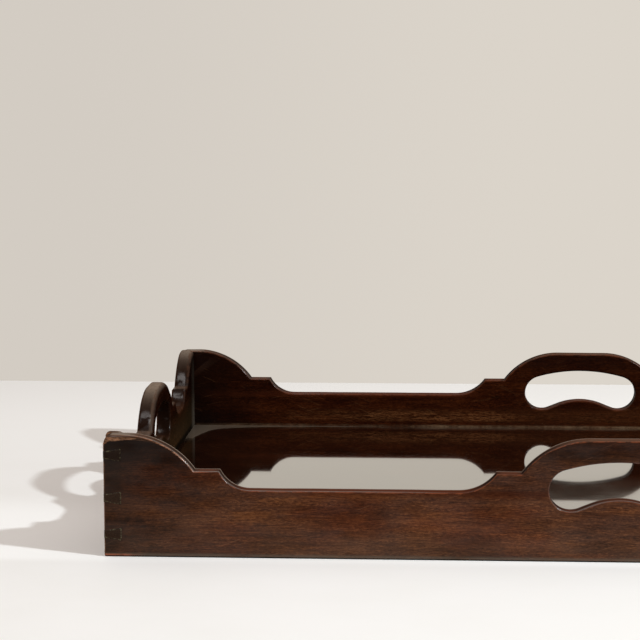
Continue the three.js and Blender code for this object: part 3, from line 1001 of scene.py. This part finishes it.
def make_strip(name, section, half_length, end_chamfer, place, seed):
    """A planed strip. section is its outline in (across, up), anticlockwise and with sharp
    corners, which are eased here. end_chamfer takes the lower arrises off its two ends."""
    eased = []
    for i, corner in enumerate(section):
        corner = Vector(corner)
        before = (Vector(section[i - 1]) - corner).normalized() * arris_ease
        after = (Vector(section[(i + 1) % len(section)]) - corner).normalized() * arris_ease
        eased += [corner + before, corner + (before + after) * arris_mitre, corner + after]
    normals = inward_normals(eased)
    foot = min(up for _, up in section)
    head = max(up for _, up in section)
    inner_stations = math.ceil(2 * half_length / station_step)
    stations = [(-half_length, arris_ease), (-half_length + arris_ease, 0)]
    for i in range(1, inner_stations):
        stations.append((-half_length + 2 * half_length * i / inner_stations, 0))
    stations += [(half_length - arris_ease, 0), (half_length, arris_ease)]
    if end_chamfer:
        stations += [(-half_length + end_chamfer, 0), (half_length - end_chamfer, 0)]
    shape = bmesh.new()
    rings = []
    for along, inset in sorted(stations):
        lowest = foot + max(0, end_chamfer - (half_length - abs(along)))
        ring = []
        for point, normal in zip(eased, normals):
            spot = point + normal * inset
            where = Vector((along / plane_waver_length, spot.x / plane_waver_width, seed))
            stray = noise.noise(where) * plane_waver
            up = max(spot.y, lowest)
            if up < (foot + head) / 2:
                up += abs(stray)
            ring.append(shape.verts.new(place(along, spot.x, up) * MM))
        rings.append(ring)
    return closed(name, shape, rings)


def planed_wood(name, turned):
    """Unpolished mahogany with plane tracks, saw marks and two centuries of dust."""
    finish = Finish(name, {"Specular IOR Level": 0.25})
    x, y, z = finish.x, finish.y, finish.z
    along, across = (y, x) if turned else (x, y)
    tone, fibres, open_pores = figure(finish, along, across, z)
    dirt = finish.clouds(22, 4, 0.65).rise(0.48, 0.7)
    colour = raw_mahogany(finish, tone, fibres).under(
        (dirt * 0.55, (66, 52, 42)), (open_pores * 0.5, (48, 32, 24))
    )
    finish.feed(base_color=colour, roughness=0.78 + (fibres - 0.5) * 0.2)
    saw_marks = finish.math("SINE", along * 1.9 + across * 0.25 + (tone - 0.5) * 5)
    tracks = finish.noise(along / 120, across / 7, z / 7, 1)
    faint = finish.clouds(35).rise(0.45, 0.62)
    finish.bump(saw_marks * faint * 0.3 + tracks * 2 + fibres * 0.7 - open_pores * 0.8, 0.07)
    return finish.material


strip_wood = {False: planed_wood("planed_along_x", False), True: planed_wood("planed_along_y", True)}
fillet_chamfer = 3
for seed, node in enumerate(("front_fillet", "back_fillet", "left_fillet", "right_fillet")):
    low, high = [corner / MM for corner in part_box(node)]
    width, length = sorted((high.x - low.x, high.y - low.y))
    turned = high.y - low.y == length
    section = [(0, low.z), (width - fillet_chamfer, low.z), (width, low.z + fillet_chamfer),
               (width, high.z), (0, high.z)]
    near, far = (low.x, high.x) if turned else (low.y, high.y)
    outer, inwards = (far, -1) if far > 0 else (near, 1)

    def place_fillet(along, across, up, outer=outer, inwards=inwards, turned=turned):
        """Across runs from the board, towards the middle of the tray."""
        spot = outer + inwards * across
        return Vector((spot, along, up) if turned else (along, spot, up))

    fillet = make_strip(node + "_planed", section, length / 2, 0, place_fillet, seed)
    dress(fillet, strip_wood[turned], strip_round_angle)
    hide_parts(node)
    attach(fillet, "root")

# Two bearers run across under the base between the long fillets, to keep it flat. Each is planed
# by hand, chamfered beneath at both ends and bored for four countersunk screws.
bearer_end_chamfer = 5
screw_head_radius = 4
screw_head_land = 0.3
screw_shank_radius = 1.9
screw_tip_length = 4
screw_sides = 40
hole_ease = 0.15
bore_start = -3


def make_turned(name, profile, centre):
    """A turned piece whose profile, in (radius, height), begins and ends on its middle line."""
    shape = bmesh.new()
    angles = [2 * math.pi * i / screw_sides for i in range(screw_sides)]
    rings = []
    for radius, height in profile[1:-1]:
        spots = [centre + Vector((radius * math.cos(a), radius * math.sin(a), height)) for a in angles]
        rings.append([shape.verts.new(spot * MM) for spot in spots])
    skin(shape, rings)
    for ring, (_, height) in ((rings[0], profile[0]), (rings[-1], profile[-1])):
        pole = shape.verts.new((centre + Vector((0, 0, height))) * MM)
        for pair in zip(ring, ring[1:] + ring[:1]):
            shape.faces.new((*pair, pole))
    bmesh.ops.recalc_face_normals(shape, faces=shape.faces)
    return as_object(name, shape)


def screw_foot(node):
    """The middle of a screw's head, and the screw's length."""
    low, high = [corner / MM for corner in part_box(node)]
    return Vector(((low.x + high.x) / 2, (low.y + high.y) / 2, low.z)), high.z - low.z


def place_bearer(along, across, up):
    return Vector((across, along, up))


for seed, side in enumerate(("left", "right")):
    low, high = [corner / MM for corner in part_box(side + "_bearer")]
    section = [(low.x, low.z), (high.x, low.z), (high.x, high.z), (low.x, high.z)]
    bearer = make_strip(
        side + "_bearer_planed", section, high.y, bearer_end_chamfer, place_bearer, seed + 5
    )
    for number in range(1, 5):
        foot, length = screw_foot(f"{side}_bearer_screw_{number}")
        head, shank = screw_head_radius + hole_ease, screw_shank_radius + hole_ease
        cone_end = screw_head_land + head - shank
        bore = [(0, bore_start), (head, bore_start), (head, screw_head_land), (shank, cone_end),
                (shank, 2 * length), (0, 2 * length)]
        carve(bearer, make_turned("bore", bore, foot))
    dress(bearer, strip_wood[True], strip_round_angle)
    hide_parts(side + "_bearer")
    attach(bearer, "root")

# Eight countersunk screws of dark iron hold the bearers, four in each. Their heads were turned by
# hand and lie just inside the wood, and their slots were sawn, each left at an angle of its own.
head_rim = [(0.5, 0.02), (0.1, 0.12)]
screw_tip = [(0.4, 0.1), (0, 0)]
screw_round_angle = 30
slot_half_length = 5
slot_half_width = 0.5
slot_depth = 1.1
slot_turn = 37
first_slot = {"left": 11, "right": 64}


def dark_iron():
    """Wrought iron gone nearly black, with a bloom of rust in the hollows."""
    finish = Finish("dark_iron", {"Specular IOR Level": 0.5})
    blotches = finish.clouds(1.6, 4, 0.65)
    rust = blotches.rise(0.48, 0.64)
    colour = finish.mix(rust * 0.8, (58, 55, 53), (98, 58, 36))
    finish.feed(base_color=colour, metallic=0.85 - rust * 0.75, roughness=0.42 + rust * 0.4)
    finish.bump(blotches, 0.12)
    return finish.material


iron = dark_iron()
for side in ("left", "right"):
    for number in range(1, 5):
        node = f"{side}_bearer_screw_{number}"
        foot, length = screw_foot(node)
        cone_end = screw_head_land + screw_head_radius - screw_shank_radius
        profile = [(0, 0)]
        profile += [(screw_head_radius - inward, up) for inward, up in head_rim]
        profile += [(screw_head_radius, screw_head_land), (screw_shank_radius, cone_end)]
        profile += [(screw_shank_radius, length - screw_tip_length)]
        profile += [(radius, length - down) for radius, down in screw_tip]
        screw = make_turned(node + "_turned", profile, foot)
        slot = make_block((-slot_half_length, -slot_half_width, -1),
                          (slot_half_length, slot_half_width, slot_depth))
        angle = math.radians(slot_turn * number + first_slot[side])
        slot.data.transform(Matrix.Translation(foot * MM) @ Matrix.Rotation(angle, 4, "Z"))
        carve(screw, slot)
        dress(screw, iron, screw_round_angle)
        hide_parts(node)
        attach(screw, "root")

# Sixteen wrought brads pin the base up to the rebate's shoulder: five into each long board and
# three into each end board. The fillets were glued on over their heads.
for number in range(1, 17):
    refinish(f"base_brad_{number:02d}", iron)

# The table is a plain one, painted a warm white, and ends behind the tray against a plain wall.
# It is laid a hair under the tray, so that their faces don't lie in one plane.
table_back = 0.586
table_half_length = 1.6
table_front = -1.4
table_height = -0.0001
table_shape = bmesh.new()
corners = [(-table_half_length, table_front), (table_half_length, table_front),
           (table_half_length, table_back), (-table_half_length, table_back)]
table_shape.faces.new([table_shape.verts.new((x, y, table_height)) for x, y in corners])
table = as_object("table", table_shape)
table_paint = Finish("table_paint", {"Roughness": 0.7, "Specular IOR Level": 0.2})
x, y = table_paint.x, table_paint.y
cloud = table_paint.noise(x / 90, y / 90, 0, 3)
white = table_paint.ramp(cloud, (0.3, (244, 242, 239)), (0.7, (247, 245, 243)))
# Darker towards the right front: painted shade.
white = white.mix(x.rise(-400, 400) * y.rise(150, -150), (237, 235, 232))
# Lighter just in front of the tray and towards the back: painted light.
painted_light = y.rise(-end_half - 22, -end_half - 2) * y.rise(0, -100)
painted_light = painted_light.at_least(y.rise(-50, 400))
table_paint.feed(base_color=white.mix(painted_light, (255, 254, 252)))
table.data.materials.append(table_paint.material)

# The room lights the tray: the wall behind it is bright and the room in front is dim. A small
# lamp high on the right throws the shadow to the left, and a wide one stands over the tray.
world = bpy.data.worlds.new("studio")
bpy.context.scene.world = world
world.use_nodes = True


class Studio(Finish):
    """The light that comes from all round, put together as a finish is."""

    def __init__(self, surroundings):
        self.tree = surroundings.node_tree
        self.shader = self.tree.nodes["Background"]


studio = Studio(world)
towards = studio.node("ShaderNodeTexCoord", {}, {}, "Generated")
across = studio.node("ShaderNodeSeparateXYZ", {}, {0: towards})
ahead, above = across.of("Y"), across.of("Z")
wall = studio.mix(across.rise(-0.2, 0.06), (211, 204, 195), (219, 212, 202))
lit_wall = (231, 223, 209)
dim_room = (52, 48, 44)
room = studio.mix(ahead.rise(-0.15, 0.5), dim_room, lit_wall)
room = room.mix(above.rise(0.3, 0.85), (169, 160, 155))
room = room.mix(across.rise(0.3, 0.8), (245, 238, 228))
room = room.mix(across.rise(-0.3, -0.7) * 0.85, dim_room)
even_room = studio.mix(ahead.rise(-0.15, 0.5), (60, 55, 51), (180, 174, 164))
even_room = even_room.mix(above.rise(0.3, 0.85), (176, 167, 161))
ray = studio.node("ShaderNodeLightPath", {}, {}, "Is Camera Ray")
room = even_room.mix(ray.of("Is Glossy Ray"), room)
studio.feed(color=room.mix(ray, wall))


def hang_lamp(name, place, aim, size, power, tint):
    """A round lamp of its own width and strength, turned to shine at its aim."""
    data = bpy.data.lights.new(name, "AREA")
    data.color = tint
    data.shape = "DISK"
    data.size = size
    data.energy = power
    lamp = bpy.data.objects.new(name, data)
    turn = (Vector(aim) - Vector(place)).to_track_quat("-Z", "Y").to_matrix().to_4x4()
    lamp.matrix_world = Matrix.Translation(place) @ turn
    bpy.context.scene.collection.objects.link(lamp)


hang_lamp("key_lamp", place=(1.265, -0.8515, 1.449), aim=(0, 0, 0.05),
          size=0.12, power=31, tint=(0.96, 1.04, 1.08))
hang_lamp("soft_lamp", place=(-0.75, -0.45, 2.1), aim=(-0.1, 0, 0.05),
          size=0.9, power=13.5, tint=(1, 0.955, 0.935))

bpy.context.scene.view_settings.view_transform = "Standard"
